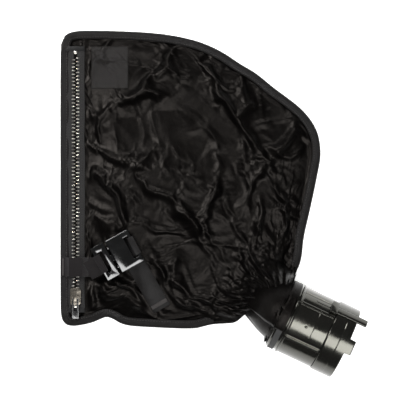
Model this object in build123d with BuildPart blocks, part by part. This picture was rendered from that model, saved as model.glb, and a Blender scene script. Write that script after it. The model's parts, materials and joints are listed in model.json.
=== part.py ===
"""Zippered cloth debris bag with a moulded collar, lying flat. Millimetres, +Z up."""

import os
from math import cos, degrees, radians, sin

from build123d import *

# Bag, seen from above: a straight left side with the zip beside it, and a neck at the lower right.
bag_width = 275.0
bag_length = 314.0
cloth = 1.2
seam_gap = 2.2
binding_wall = 2.0
binding_lip = 9.0
binding_lip_left = 6.0
slack = 0.1

# The outline as shares of the width and the length, from the top left round to the neck, then back.
side_edge = [(0.0, 0.98), (0.06, 1.0), (0.19, 1.0), (0.35, 0.993), (0.46, 0.98), (0.56, 0.957)]
side_edge += [(0.635, 0.923), (0.75, 0.86), (0.88, 0.772), (0.963, 0.70), (0.992, 0.65), (1.0, 0.59)]
side_edge += [(0.99, 0.526), (0.955, 0.372), (0.93, 0.226), (0.906, 0.166)]
foot_edge = [(0.80, 0.01), (0.66, 0.012), (0.51, 0.0), (0.26, 0.006)]
foot_edge += [(0.12, 0.016), (0.04, 0.004), (0.0, 0.02)]

# The filled front, as steps of (height, how far in from the edges, how far in from the left side).
dome_steps = [(0.0, 16.0, 30.0), (5.6, 28.0, 60.0), (9.6, 52.0, 100.0), (12.6, 85.0, 140.0)]

# Zip.
zip_across = 16.0
tape_end = 16.0
tab_length = 5.0
tape_width = 8.0
tape_thickness = 0.8
tape_gap = 3.4
tooth_pitch = 3.8
tooth_thickness = 1.5
tooth_height = 2.8
tooth_grip = 2.4
row_gap = 0.8
slider_fit = 0.3
slot_fit = 0.8
slider_length = 18.0
slider_width = 11.2
slider_plate = 1.1
slider_corner = 3.0
web_setback = 2.0
web_thickness = 0.4
crown_width = 3.0
crown_length = 11.0
crown_height = 3.0
crown_wall = 1.1
pull_bar = 1.5
pull_leg = 1.4
pull_length = 20.5
pull_setback = 6.0
leg_fit = 0.5

# Collar: a plastic sleeve on the neck's axis, which lies level and points out of the lower right corner.
collar_turn = -25.0
bore_radius = 34.2
collar_wall = 2.8
flange_height = 1.4
hem_cloth = 1.2
hem_length = 10.5
tie_thickness = 0.9
tie_width = 6.0
collar_length = 74.0
ring_start = 52.0
ring_length = 23.0
ring_fit = 0.15
ring_wall = 2.2
edge_break = 0.6
flange_start = 11.2
flange_width = 1.8
rib_width = 3.0
rib_height = 1.4
rib_angles = (-34.0, 28.4)
channel_from = -61.5
channel_to = -37.0
channel_start = 14.0
keeper_start = 44.0
keeper_length = 7.6
keeper_height = 3.2
keeper_fit = 0.6
finger_angle = -49.0
finger_width = 9.0
finger_thickness = 2.9
finger_start = 46.0
finger_length = 39.0
finger_travel = 8.0
finger_fit = 0.3
key_width = 16.0
key_length = 6.7
dimple_radius = 1.0
dimple_depth = 0.6
dimple_place = 28.0

# Neck: cloth that gathers the bag's corner into the collar's hem, measured back from the collar.
# Halfway, it is lower and narrower than the hem by neck_drop and neck_narrowing.
neck_root = 55.0
neck_root_height = 14.0
neck_root_width = 72.0
neck_middle = 20.0
neck_drop = 30.8
neck_narrowing = 8.8
neck_middle_shift = -7.0
swing_room = 16.0

# Straps and the side-release buckle.
strap_width = 20.0
strap_thickness = 1.6
strap_foot = 64.4
buckle_place = (41.9, 66.8)
buckle_turn = 29.0
buckle_height = 15.2
buckle_thickness = 8.6
buckle_width = 38.0
base_corner = 1.0
socket_corner = 1.6
base_length = 14.6
base_thickness = 7.4
bar_width = 3.6
slot_end = 9.0
slot_width = 24.0
socket_start = 17.0
socket_length = 27.0
socket_wall = 1.8
socket_depth = 16.5
socket_side = 2.5
rear_slot = 4.5
tongue_width = 6.4
tongue_length = 17.4
tongue_grip = 1.0
arm_root = 15.4
arm_pivot = 10.7
arm_height = 4.4
arm_width = 3.4
arm_end_gap = 2.8
pad_depth = 4.2
pad_length = 5.4
pad_setback = 0.4
hook_top = 3.4
hook_foot = 6.2
arm_inside = 7.1
window_start = 20.0
window_length = 11.5
loop_fit = 0.3
loop_cloth = 1.2
strap_start = 0.5
strap_rise = 5.0
strap_level_start = 30.5
strap_level_end = 36.0
strap_overlap = 14.0
slider_clear = 0.6
slider_clear_left = 1.0
slider_clear_right = 2.0
anchor_turn = -60.1
anchor_place = (72.0, 82.2)
anchor_length = 71.7
anchor_level = 40.0
anchor_end_height = 7.4
anchor_overlap = 20.0
tack_thickness = 0.5
tack_width = 2.0
tack_setback = 4.0
tack_inset = 1.0

# Label patch, sewn on near the top of the zip.
label_left = 32.0
label_foot = 253.0
label_width = 40.0
label_length = 46.0
label_thickness = 0.7

# Places along the zip: an end tab, a stop and the slider follow each other.
zip_foot = tape_end + tab_length + tooth_thickness + slack
zip_head = bag_length - zip_foot
slider_start = zip_foot + tooth_thickness + slack

# Heights that follow from the sizes above.
zip_slot = slider_width + slot_fit
margin_foot = cloth + seam_gap
margin_top = margin_foot + cloth
binding_height = margin_top + cloth
tape_foot = margin_top
tape_top = tape_foot + tape_thickness
tooth_foot = tape_foot + tape_thickness / 2 - tooth_height / 2
tooth_top = tooth_foot + tooth_height
slider_foot = tooth_foot - slider_fit - slider_plate
slider_top = tooth_top + slider_fit + slider_plate
pull_height = slider_top + slider_fit + pull_bar / 2
pull_place = slider_start + pull_setback
buckle_middle = buckle_height + buckle_thickness / 2
buckle_top = buckle_height + buckle_thickness

# The collar's axis and the planes across it.
axis_way = (cos(radians(collar_turn)), sin(radians(collar_turn)), 0.0)
side_way = (axis_way[1], -axis_way[0], 0.0)
collar_place = (0.841 * bag_width, 0.053 * bag_length)
barrel = bore_radius + collar_wall
ring_radius = barrel + flange_height
nose = ring_radius - ring_wall - ring_fit
keeper_radius = ring_radius + keeper_height
hem_inner = ring_radius - hem_cloth
neck_middle_height = 2 * ring_radius - neck_drop
neck_middle_width = 2 * ring_radius - neck_narrowing
under_hem = hem_inner - tie_thickness - slack


def along_axis(distance):
    """The point on the collar's axis at a distance from its back rim."""
    return (
        collar_place[0] + distance * axis_way[0],
        collar_place[1] + distance * axis_way[1],
        ring_radius,
    )


def across_axis(distance):
    """The plane across the collar's axis, whose x points up and whose z points out of the bag."""
    return Plane(origin=along_axis(distance), x_dir=(0, 0, 1), z_dir=axis_way)


def polar(radius, angle):
    """A point in a plane across the axis, at an angle from straight up."""
    return (radius * cos(radians(angle)), radius * sin(radians(angle)))


def half_angle(width, radius):
    """Half the angle that an arc of a width takes at a radius."""
    return degrees(width / (2 * radius))


def bag_face(height, inset=0.0, left_inset=None):
    """The bag's outline as a face at a height, drawn in from each side by the insets."""
    left = inset if left_inset is None else left_inset
    across = 1 - (left + inset) / bag_width
    along = 1 - 2 * inset / bag_length
    places = [
        [(left + x * bag_width * across, inset + y * bag_length * along) for x, y in edge]
        for edge in (side_edge, foot_edge)
    ]
    with BuildSketch(Plane.XY.offset(height)) as sketch:
        with BuildLine():
            Spline(*places[0])
            Line(places[0][-1], places[1][0])
            Spline(*places[1])
            Line(places[1][-1], places[0][0])
        make_face()
    return sketch.sketch.face()


def dome_faces(lift=0.0, shrink=0.0):
    """The filled front's steps as faces, raised by lift and drawn in by shrink."""
    return [bag_face(margin_foot + h + lift, i + shrink, l + shrink) for h, i, l in dome_steps]


def ring_sector(distance, inner, outer, start, end):
    """A slice of a ring across the collar's axis, between two radii and two angles."""
    with BuildSketch(across_axis(distance)) as sketch:
        with BuildLine():
            CenterArc((0, 0), outer, start, end - start)
            Line(polar(outer, end), polar(inner, end))
            CenterArc((0, 0), inner, start, end - start)
            Line(polar(inner, start), polar(outer, start))
        make_face()
    return sketch.sketch.face()


def neck_face(distance, height, width, foot, shift=0.0, inset=0.0):
    """An oval across the neck behind the collar: its height, its width and the height of its foot."""
    middle = across_axis(-distance)
    place = Vector(*along_axis(-distance)) + Vector(*side_way) * shift
    place.Z = foot + height / 2
    with BuildSketch(Plane(origin=place, x_dir=middle.x_dir, z_dir=middle.z_dir)) as sketch:
        Ellipse(height / 2 - inset, width / 2 - inset)
    return sketch.sketch.face()


def neck_faces(inset=0.0):
    """The neck's ovals from its root in the bag to the collar's hem."""
    return [
        neck_face(neck_root, neck_root_height, neck_root_width, cloth + slack, 0.0, inset),
        neck_face(
            neck_middle, neck_middle_height, neck_middle_width, slack, neck_middle_shift, inset
        ),
        neck_face(0.0, 2 * ring_radius, 2 * ring_radius, 0.0, 0.0, inset),
    ]


# The neck's outer shape and the room its collar needs to swing: cut out of the bag's flat pieces.
with BuildPart() as neck_space:
    loft(neck_faces())
    with BuildSketch(across_axis(-swing_room)):
        Rectangle(4 * ring_radius, 3.4 * ring_radius)
    extrude(amount=swing_room + collar_length)

# The bag lies on its back panel, one layer of coated cloth.
with BuildPart() as back_panel:
    extrude(bag_face(0.0, binding_wall), amount=cloth)
    add(neck_space.part, mode=Mode.SUBTRACT)
back_panel.part.label = "back_panel"

# The front panel has a flat margin in the seam and rises over the bag's fill; it starts beside the zip.
with BuildPart() as dome:
    loft(dome_faces(), ruled=True)
with BuildPart() as front_panel:
    extrude(bag_face(margin_foot, binding_wall), amount=cloth)
    add(dome.part)
    loft(dome_faces(-cloth, cloth), ruled=True, mode=Mode.SUBTRACT)
    with BuildSketch(Plane.XY):
        with Locations((zip_across + zip_slot / 2 - bag_width, bag_length / 2)):
            Rectangle(2 * bag_width, 2 * bag_length)
    extrude(amount=binding_height, mode=Mode.SUBTRACT)
    add(neck_space.part, mode=Mode.SUBTRACT)
front_panel.part.label = "front_panel"

# The strip of front cloth between the zip and the left seam.
with BuildPart() as side_strip:
    extrude(bag_face(margin_foot, binding_wall), amount=cloth)
    with BuildSketch(Plane.XY):
        with Locations((zip_across - zip_slot / 2 + bag_width, bag_length / 2)):
            Rectangle(2 * bag_width, 2 * bag_length)
    extrude(amount=binding_height, mode=Mode.SUBTRACT)
side_strip.part.label = "side_strip"

# Ribbed binding round the edge, which closes over both panels.
with BuildPart() as edge_binding:
    extrude(bag_face(0.0), amount=binding_height)
    extrude(bag_face(margin_top, binding_lip, binding_lip_left), amount=cloth, mode=Mode.SUBTRACT)
    extrude(bag_face(0.0, binding_wall), amount=margin_top, mode=Mode.SUBTRACT)
    add(neck_space.part, mode=Mode.SUBTRACT)
edge_binding.part.label = "edge_binding"

# Cloth neck, with its hem round the collar's back end.
with BuildPart() as neck_sleeve:
    loft(neck_faces())
    loft(neck_faces(hem_cloth), mode=Mode.SUBTRACT)
    with BuildSketch(across_axis(0.0)):
        Circle(ring_radius)
        Circle(hem_inner, mode=Mode.SUBTRACT)
    extrude(amount=hem_length)
neck_sleeve.part.label = "neck_sleeve"

# Tie band inside the hem, which draws the cloth down on the collar.
with BuildPart() as neck_tie:
    with BuildSketch(across_axis((hem_length - tie_width) / 2)):
        Circle(hem_inner)
        Circle(hem_inner - tie_thickness, mode=Mode.SUBTRACT)
    extrude(amount=tie_width)
neck_tie.part.label = "neck_tie"

# Collar sleeve: turned profile as (distance along, radius), with ribs, a channel and a finger passage.
rib_start = flange_start + flange_width
with BuildPart() as collar_sleeve:
    with BuildSketch(Plane(origin=along_axis(0.0), x_dir=axis_way, z_dir=side_way)):
        with BuildLine():
            Polyline(
                (0.0, bore_radius),
                (0.0, under_hem - edge_break),
                (edge_break, under_hem),
                (flange_start, under_hem),
                (flange_start, ring_radius - edge_break),
                (flange_start + edge_break, ring_radius),
                (rib_start - edge_break, ring_radius),
                (rib_start, ring_radius - edge_break),
                (rib_start, barrel),
                (ring_start, barrel),
                (ring_start, nose),
                (collar_length - edge_break, nose),
                (collar_length, nose - edge_break),
                (collar_length, bore_radius),
                close=True,
            )
        make_face()
    revolve(axis=Axis(along_axis(0.0), axis_way))
    for rib_angle in rib_angles:
        half = half_angle(rib_width, barrel)
        edges = (rib_angle - half, rib_angle + half)
        extrude(ring_sector(rib_start, nose, barrel + rib_height, *edges), amount=ring_start - rib_start)
    passage = ring_sector(channel_start, nose, keeper_radius, channel_from, channel_to)
    extrude(passage, amount=ring_start - channel_start + slack, mode=Mode.SUBTRACT)
    dimple_plane = Plane(origin=along_axis(dimple_place), x_dir=axis_way, z_dir=(0, 0, 1))
    with BuildSketch(dimple_plane.offset(barrel - dimple_depth)):
        Circle(dimple_radius)
    extrude(amount=2 * dimple_depth, mode=Mode.SUBTRACT)
collar_sleeve.part.label = "collar_sleeve"

# Lock finger: a flat curved bar that slides in the channel and stands out past the end.
finger_half = half_angle(finger_width, barrel)
finger_foot = nose + finger_fit
finger_top = finger_foot + finger_thickness
finger_edges = (finger_angle - finger_half, finger_angle + finger_half)
with BuildPart() as lock_finger:
    extrude(ring_sector(finger_start, finger_foot, finger_top, *finger_edges), amount=finger_length)
lock_finger.part.label = "lock_finger"

# Passage for the finger, a little larger than it is.
room_half = half_angle(finger_width + 2 * finger_fit, barrel)
room_edges = (finger_angle - room_half, finger_angle + room_half)
with BuildPart() as finger_room:
    sector = ring_sector(finger_start - finger_travel, nose, finger_top + finger_fit, *room_edges)
    extrude(sector, amount=finger_travel + finger_length)

# Keeper: a bridge in the channel that holds the finger down.
with BuildPart() as lock_keeper:
    keeper_edges = (channel_from + keeper_fit, channel_to - keeper_fit)
    sector = ring_sector(keeper_start, nose, keeper_radius, *keeper_edges)
    extrude(sector, amount=keeper_length)
    add(finger_room.part, mode=Mode.SUBTRACT)
lock_keeper.part.label = "lock_keeper"

# End ring with its key tab, slotted for the finger.
with BuildPart() as collar_end_ring:
    with BuildSketch(across_axis(ring_start + ring_fit)):
        Circle(ring_radius)
        Circle(nose + ring_fit, mode=Mode.SUBTRACT)
    extrude(amount=ring_length)
    key_half = half_angle(key_width, ring_radius)
    sector = ring_sector(ring_start + ring_length, nose + ring_fit, ring_radius, -key_half, key_half)
    extrude(sector, amount=key_length)
    slot_sector = ring_sector(ring_start, nose, keeper_radius, *room_edges)
    extrude(slot_sector, amount=ring_fit + ring_length, mode=Mode.SUBTRACT)
collar_end_ring.part.label = "collar_end_ring"

# Zip tapes: woven strips on the front cloth, either side of the teeth.
tape_length = bag_length - 2 * tape_end
zip_tapes = []
for side in (-1, 1):
    with BuildPart() as zip_tape:
        with BuildSketch(Plane.XY.offset(tape_foot)):
            with Locations((zip_across + side * (tape_gap + tape_width) / 2, bag_length / 2)):
                Rectangle(tape_width, tape_length)
        extrude(amount=tape_thickness)
    zip_tapes.append(zip_tape)
zip_tapes[0].part.label = "zip_tape_left"
zip_tapes[1].part.label = "zip_tape_right"

# Zip teeth: one group of clamped teeth a side, each row half a pitch from the other.
tooth_length = tooth_grip + tape_gap / 2 - row_gap / 2
tooth_count = int((zip_head - tooth_thickness - slider_start) / tooth_pitch)
zip_teeth = []
for side, tape in zip((-1, 1), zip_tapes):
    with BuildPart() as teeth:
        first = slider_start + tooth_pitch * (0.25 if side < 0 else 0.75)
        middle = zip_across + side * (row_gap + tooth_length) / 2
        with BuildSketch(Plane.XY.offset(tooth_foot)):
            with Locations(*[(middle, first + n * tooth_pitch) for n in range(tooth_count)]):
                Rectangle(tooth_length, tooth_thickness)
        extrude(amount=tooth_height)
        add(tape.part, mode=Mode.SUBTRACT)
    zip_teeth.append(teeth)
zip_teeth[0].part.label = "zip_teeth_left"
zip_teeth[1].part.label = "zip_teeth_right"

# Stops at the ends of the chain, and cloth tabs over the tapes' ends.
with BuildPart() as zip_bottom_stop:
    with BuildSketch(Plane.XY.offset(tooth_foot)):
        with Locations((zip_across, zip_foot)):
            Rectangle(tape_gap, 2 * tooth_thickness)
    extrude(amount=tooth_height)
zip_bottom_stop.part.label = "zip_bottom_stop"

with BuildPart() as zip_top_stop:
    with BuildSketch(Plane.XY.offset(tooth_foot)):
        with Locations((zip_across, zip_head)):
            Rectangle(tape_gap, 2 * tooth_thickness)
    extrude(amount=tooth_height)
zip_top_stop.part.label = "zip_top_stop"

tab_width = tape_gap + 2 * tape_width
with BuildPart() as zip_bottom_tab:
    with BuildSketch(Plane.XY.offset(tape_top)):
        with Locations((zip_across, tape_end + tab_length / 2)):
            Rectangle(tab_width, tab_length)
    extrude(amount=tape_thickness)
zip_bottom_tab.part.label = "zip_bottom_tab"

with BuildPart() as zip_top_tab:
    with BuildSketch(Plane.XY.offset(tape_top)):
        with Locations((zip_across, bag_length - tape_end - tab_length / 2)):
            Rectangle(tab_width, tab_length)
    extrude(amount=tape_thickness)
zip_top_tab.part.label = "zip_top_tab"

# Slider: two plates and a thin web that runs between the rows of teeth, with a crown for the pull.
slider_middle = slider_start + slider_length / 2
with BuildPart() as slider_body:
    for plate_foot in (slider_foot, slider_top - slider_plate):
        with BuildSketch(Plane.XY.offset(plate_foot)):
            with Locations((zip_across, slider_middle)):
                RectangleRounded(slider_width, slider_length, slider_corner)
        extrude(amount=slider_plate)
    with BuildSketch(Plane.XY.offset(slider_foot)):
        with Locations((zip_across, slider_middle)):
            Rectangle(web_thickness, slider_length - 2 * web_setback)
    extrude(amount=slider_top - slider_foot)
    crown_foot = pull_place - pull_bar / 2 - slider_fit - crown_wall
    with BuildSketch(Plane.YZ.offset(zip_across - crown_width / 2)):
        with Locations((crown_foot + crown_length / 2, slider_top + crown_height / 2)):
            Rectangle(crown_length, crown_height)
        with Locations((crown_foot + crown_length / 2, slider_top + (crown_height - crown_wall) / 2)):
            Rectangle(crown_length - 2 * crown_wall, crown_height - crown_wall, mode=Mode.SUBTRACT)
    extrude(amount=crown_width)
slider_body.part.label = "slider_body"

# Pull: a bar through the crown, two legs past it and a plate to hold.
leg_inner = crown_width / 2 + leg_fit
leg_outer = leg_inner + pull_leg
with BuildPart() as pull_tab:
    with BuildSketch(Plane.YZ.offset(zip_across - leg_outer)):
        with Locations((pull_place, pull_height)):
            Circle(pull_bar / 2)
    extrude(amount=2 * leg_outer)
    with BuildSketch(Plane.XY.offset(pull_height - pull_bar / 2)):
        with Locations((zip_across, pull_place - pull_length / 2)):
            Rectangle(2 * leg_outer, pull_length)
        with Locations((zip_across, pull_place - crown_length / 2)):
            Rectangle(2 * leg_inner, crown_length + 2 * pull_bar, mode=Mode.SUBTRACT)
    extrude(amount=pull_bar)
pull_tab.part.label = "pull_tab"

# Label patch: it follows the front's slope, one thickness above it.
with BuildPart() as label_patch:
    loft(dome_faces(label_thickness), ruled=True)
    with BuildSketch(Plane.XY):
        with Locations((label_left + label_width / 2, label_foot + label_length / 2)):
            Rectangle(label_width, label_length)
    extrude(amount=bag_width, mode=Mode.INTERSECT)
    add(front_panel.part, mode=Mode.SUBTRACT)
    loft(dome_faces(), ruled=True, mode=Mode.SUBTRACT)
label_patch.part.label = "label_patch"


def buckle_plane(height):
    """The plane of the buckle at a height, whose x runs from the lock strap to the anchor strap."""
    way = (cos(radians(buckle_turn)), sin(radians(buckle_turn)), 0)
    return Plane(origin=(*buckle_place, height), x_dir=way, z_dir=(0, 0, 1))


def buckle_box(start, end, width, foot, top):
    """A box of the buckle between two distances along it and two heights, centred across it."""
    with BuildPart() as block:
        with BuildSketch(buckle_plane(foot)):
            with Locations(((start + end) / 2, 0)):
                Rectangle(end - start, width)
        extrude(amount=top - foot)
    return block.part


# Buckle base: the half with the tongue; the lock strap is sewn round its outer bar.
base_foot = buckle_middle - base_thickness / 2
arm_heights = (buckle_middle - arm_height / 2, buckle_middle + arm_height / 2)
with BuildPart() as buckle_base:
    with BuildSketch(buckle_plane(base_foot)):
        with Locations((base_length / 2, 0)):
            Rectangle(base_length, buckle_width)
        with Locations(((bar_width + slot_end) / 2, 0)):
            Rectangle(slot_end - bar_width, slot_width, mode=Mode.SUBTRACT)
    extrude(amount=base_thickness)
    fillet(buckle_base.edges().filter_by(Axis.Z), base_corner)
    tongue_edges = (base_length - tongue_grip, base_length + tongue_length)
    add(buckle_box(*tongue_edges, tongue_width, *arm_heights))
buckle_base.part.label = "buckle_base"

# Buckle socket: the half that the tongue and arms enter; the anchor strap is sewn round its rear bar.
socket_end = socket_start + socket_length
socket_inner = socket_start + socket_depth
bar_start = socket_end - bar_width
with BuildPart() as buckle_socket:
    add(buckle_box(socket_start, socket_end, buckle_width, buckle_height, buckle_top))
    fillet(buckle_socket.edges().filter_by(Axis.Z), socket_corner)
    cavity = (buckle_height + socket_wall, buckle_top - socket_wall)
    cavity_width = buckle_width - 2 * socket_side
    add(buckle_box(socket_start, socket_inner, cavity_width, *cavity), mode=Mode.SUBTRACT)
    window_end = window_start + window_length
    add(buckle_box(window_start, window_end, buckle_width, *cavity), mode=Mode.SUBTRACT)
    rear_foot = bar_start - rear_slot
    add(buckle_box(rear_foot, bar_start, slot_width, buckle_height, buckle_top), mode=Mode.SUBTRACT)
buckle_socket.part.label = "buckle_socket"

# Spring arms: pressed in together to let the socket go.
arm_tip = socket_inner - arm_end_gap
pad_out = buckle_width / 2 - pad_setback
pad_start = window_start + loop_fit + slack
buckle_arms = []
for side in (1, -1):
    with BuildPart() as arm:
        with BuildSketch(buckle_plane(arm_heights[0])):
            with BuildLine():
                Polyline(
                    (arm_root, side * (arm_pivot - arm_width / 2)),
                    (arm_root, side * (arm_pivot + arm_width / 2)),
                    (pad_start, side * (pad_out - pad_depth)),
                    (pad_start, side * pad_out),
                    (pad_start + pad_length, side * pad_out),
                    (arm_tip, side * (pad_out - hook_top)),
                    (arm_tip, side * (pad_out - hook_foot)),
                    (pad_start, side * (pad_out - arm_inside)),
                    close=True,
                )
            make_face()
        extrude(amount=arm_height)
    buckle_arms.append(arm)
buckle_arms[0].part.label = "buckle_arm_upper"
buckle_arms[1].part.label = "buckle_arm_lower"

# Lock strap: sewn in the left seam, over the zip with room for the slider, and round the base's bar.
crown_clear = slider_top + crown_height + slider_clear
strap_level = buckle_middle - strap_thickness / 2
base_top = base_foot + base_thickness
outer = loop_fit + loop_cloth
left_of_slider = zip_across - slider_width / 2 - slider_clear_left
right_of_slider = zip_across + slider_width / 2 + slider_clear_right
strap_route = [
    (strap_start, binding_height),
    (strap_rise, binding_height),
    (left_of_slider, crown_clear),
    (right_of_slider, crown_clear + slider_clear),
    (strap_level_start, strap_level),
    (strap_level_end, strap_level),
]
with BuildPart() as lock_strap:
    with BuildSketch(Plane.XZ.offset(-strap_foot - strap_width / 2)):
        with BuildLine():
            top_route = [(x, z + strap_thickness) for x, z in reversed(strap_route)]
            Polyline(*strap_route, *top_route, close=True)
        make_face()
    extrude(amount=strap_width)
    level = (strap_level, strap_level + strap_thickness)
    add(buckle_box(-strap_overlap, -loop_fit, strap_width, *level))
    add(buckle_box(-outer, bar_width + outer, strap_width, base_foot - outer, base_top + outer))
    bar_room = (base_foot - loop_fit, base_top + loop_fit)
    add(buckle_box(-loop_fit, bar_width + loop_fit, strap_width, *bar_room), mode=Mode.SUBTRACT)
lock_strap.part.label = "lock_strap"

# Row of close stitches that holds the lock strap in the seam.
with BuildPart() as lock_strap_tack:
    with BuildSketch(Plane.XY.offset(binding_height + strap_thickness)):
        with Locations(((strap_start + strap_rise) / 2, strap_foot)):
            Rectangle(tack_width, strap_width - 2 * tack_inset)
    extrude(amount=tack_thickness)
lock_strap_tack.part.label = "lock_strap_tack"

# Anchor strap: from round the socket's rear bar, under the buckle, to where it is sewn to the front.
anchor_way = (cos(radians(anchor_turn)), sin(radians(anchor_turn)), 0)
anchor_side = (anchor_way[1], -anchor_way[0], 0)
strap_under = buckle_height - outer
anchor_route = [(0.0, strap_under), (anchor_level, strap_under), (anchor_length, anchor_end_height)]
with BuildPart() as anchor_strap:
    anchor_plane = Plane(origin=(*anchor_place, 0), x_dir=anchor_way, z_dir=anchor_side)
    with BuildSketch(anchor_plane.offset(-strap_width / 2)):
        with BuildLine():
            Polyline(*anchor_route, *[(x, z + loop_cloth) for x, z in reversed(anchor_route)], close=True)
        make_face()
    extrude(amount=strap_width)
    add(buckle_box(anchor_overlap, bar_start, strap_width, strap_under, strap_under + loop_cloth))
    add(buckle_box(bar_start - outer, socket_end + outer, strap_width, strap_under, buckle_top + outer))
    bar_room = (buckle_height - loop_fit, buckle_top + loop_fit)
    add(buckle_box(bar_start - loop_fit, socket_end + loop_fit, strap_width, *bar_room), mode=Mode.SUBTRACT)
    add(dome.part, mode=Mode.SUBTRACT)
anchor_strap.part.label = "anchor_strap"

# Row of close stitches that holds the anchor strap's end.
with BuildPart() as anchor_strap_tack:
    slope = (strap_under - anchor_end_height) / (anchor_length - anchor_level)
    tack_ends = [anchor_length - tack_setback - 2 * tack_width, anchor_length - tack_setback]
    tack_feet = [(x, anchor_end_height + loop_cloth + (anchor_length - x) * slope) for x in tack_ends]
    with BuildSketch(anchor_plane.offset(tack_inset - strap_width / 2)):
        with BuildLine():
            Polyline(*tack_feet, *[(x, z + tack_thickness) for x, z in reversed(tack_feet)], close=True)
        make_face()
    extrude(amount=strap_width - 2 * tack_inset)
anchor_strap_tack.part.label = "anchor_strap_tack"

pieces = [back_panel, front_panel, side_strip, edge_binding, neck_sleeve, neck_tie]
pieces += [collar_sleeve, collar_end_ring, lock_keeper, lock_finger]
pieces += [*zip_tapes, *zip_teeth, zip_bottom_stop, zip_top_stop, zip_bottom_tab, zip_top_tab]
pieces += [slider_body, pull_tab, label_patch, buckle_base, buckle_socket, *buckle_arms]
pieces += [lock_strap, lock_strap_tack, anchor_strap, anchor_strap_tack]

# The origin goes under the middle of the whole object, on the surface it lies on.
boxes = [piece.part.bounding_box() for piece in pieces]
low_x = min(box.min.X for box in boxes)
high_x = max(box.max.X for box in boxes)
low_y = min(box.min.Y for box in boxes)
high_y = max(box.max.Y for box in boxes)
low_z = min(box.min.Z for box in boxes)
origin = Vector((low_x + high_x) / 2, (low_y + high_y) / 2, low_z)

os.makedirs("parts", exist_ok=True)
for piece in pieces:
    piece.part.move(Location(-origin))
    export_step(piece.part, f"parts/{piece.part.label}.step")
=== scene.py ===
import json

import bmesh
import bpy
import numpy as np
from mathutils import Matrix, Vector
from mathutils.bvhtree import BVHTree


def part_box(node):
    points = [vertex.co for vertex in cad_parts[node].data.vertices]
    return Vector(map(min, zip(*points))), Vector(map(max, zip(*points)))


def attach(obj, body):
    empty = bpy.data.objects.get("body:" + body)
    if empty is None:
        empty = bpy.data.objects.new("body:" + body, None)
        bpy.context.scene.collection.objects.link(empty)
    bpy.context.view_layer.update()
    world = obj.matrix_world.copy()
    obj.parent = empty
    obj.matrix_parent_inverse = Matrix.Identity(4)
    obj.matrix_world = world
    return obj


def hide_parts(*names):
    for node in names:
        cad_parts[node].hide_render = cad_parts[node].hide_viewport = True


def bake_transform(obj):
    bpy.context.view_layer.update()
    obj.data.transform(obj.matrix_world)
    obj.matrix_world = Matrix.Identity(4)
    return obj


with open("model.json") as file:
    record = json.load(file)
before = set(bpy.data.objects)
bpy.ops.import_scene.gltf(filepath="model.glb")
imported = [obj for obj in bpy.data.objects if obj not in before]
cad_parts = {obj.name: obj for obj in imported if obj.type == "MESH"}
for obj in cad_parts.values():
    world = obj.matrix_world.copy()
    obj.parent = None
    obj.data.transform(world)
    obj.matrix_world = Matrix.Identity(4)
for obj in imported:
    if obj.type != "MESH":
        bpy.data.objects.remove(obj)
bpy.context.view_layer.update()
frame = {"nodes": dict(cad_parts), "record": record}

# ---------------------------------------------------------------------------------------------------
# Bag cloth. One coated nylon shell, cut as a front and a back, seamed at the edge and drawn in at the
# lower corner to a hem on the collar. The cloth is thin and crushed, with creases that meet in facets.
# It is cut on a plan in millimetres from the foot of the left seam: x across, and y up along the zip.
seam_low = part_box("edge_binding")[0]
plan_corner = np.array([seam_low[0], seam_low[1] + 0.0012, 0.0])
mounts = {mount["name"]: mount for mount in frame["record"]["mounts"]}
collar_way = np.array(mounts["collar_bore"]["axis"], float)
collar_side = np.array([collar_way[1], -collar_way[0], 0.0])
collar_mouth = np.array(mounts["collar_bore"]["pos_m"], float)
collar_back = collar_mouth - collar_way * mounts["collar_bore"]["dims"]["length_mm"] / 1000
collar_height = collar_back[2]
hem_radius = collar_height - 0.0002


def on_plan(points):
    """Plan millimetres, as rows of x, y or x, y, z, to metres in the object's frame."""
    rows = np.atleast_2d(np.array(points, float)) / 1000
    if rows.shape[1] == 2:
        rows = np.c_[rows, np.zeros(len(rows))]
    return rows + plan_corner


def ease(low, high, value):
    """0 below low, 1 above high, and 3t^2 - 2t^3 between them, with t the share of the way."""
    t = np.clip((value - low) / (high - low), 0.0, 1.0)
    return t * t * (3 - 2 * t)


def rounded_path(points, count, rounds=3):
    """Cuts a polyline's corners by a quarter, as many times as rounds says, then spaces points evenly."""
    path = np.array(points, float)
    for _ in range(rounds):
        near = 0.75 * path[:-1] + 0.25 * path[1:]
        far = 0.25 * path[:-1] + 0.75 * path[1:]
        path = np.r_[path[:1], np.stack([near, far], 1).reshape(-1, path.shape[1]), path[-1:]]
    run = np.r_[0, np.cumsum(np.linalg.norm(np.diff(path, axis=0), axis=1))]
    even = np.linspace(0, run[-1], count)
    return np.stack([np.interp(even, run, path[:, axis]) for axis in range(path.shape[1])], 1)


def from_path(x, y, path):
    """Each point's distance from a polyline, and how far along it, from 0 to 1, the nearest place is."""
    best = np.full(x.shape, 1e9)
    along = np.zeros(x.shape)
    run = np.r_[0, np.cumsum(np.linalg.norm(np.diff(path[:, :2], axis=0), axis=1))]
    for index in range(len(path) - 1):
        a, b = path[index, :2], path[index + 1, :2]
        way = b - a
        share = np.clip(((x - a[0]) * way[0] + (y - a[1]) * way[1]) / (way @ way), 0, 1)
        gap = np.hypot(x - a[0] - share * way[0], y - a[1] - share * way[1])
        nearer = gap < best
        best = np.where(nearer, gap, best)
        along = np.where(nearer, (run[index] + share * (run[index + 1] - run[index])) / run[-1], along)
    return best, along


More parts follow.
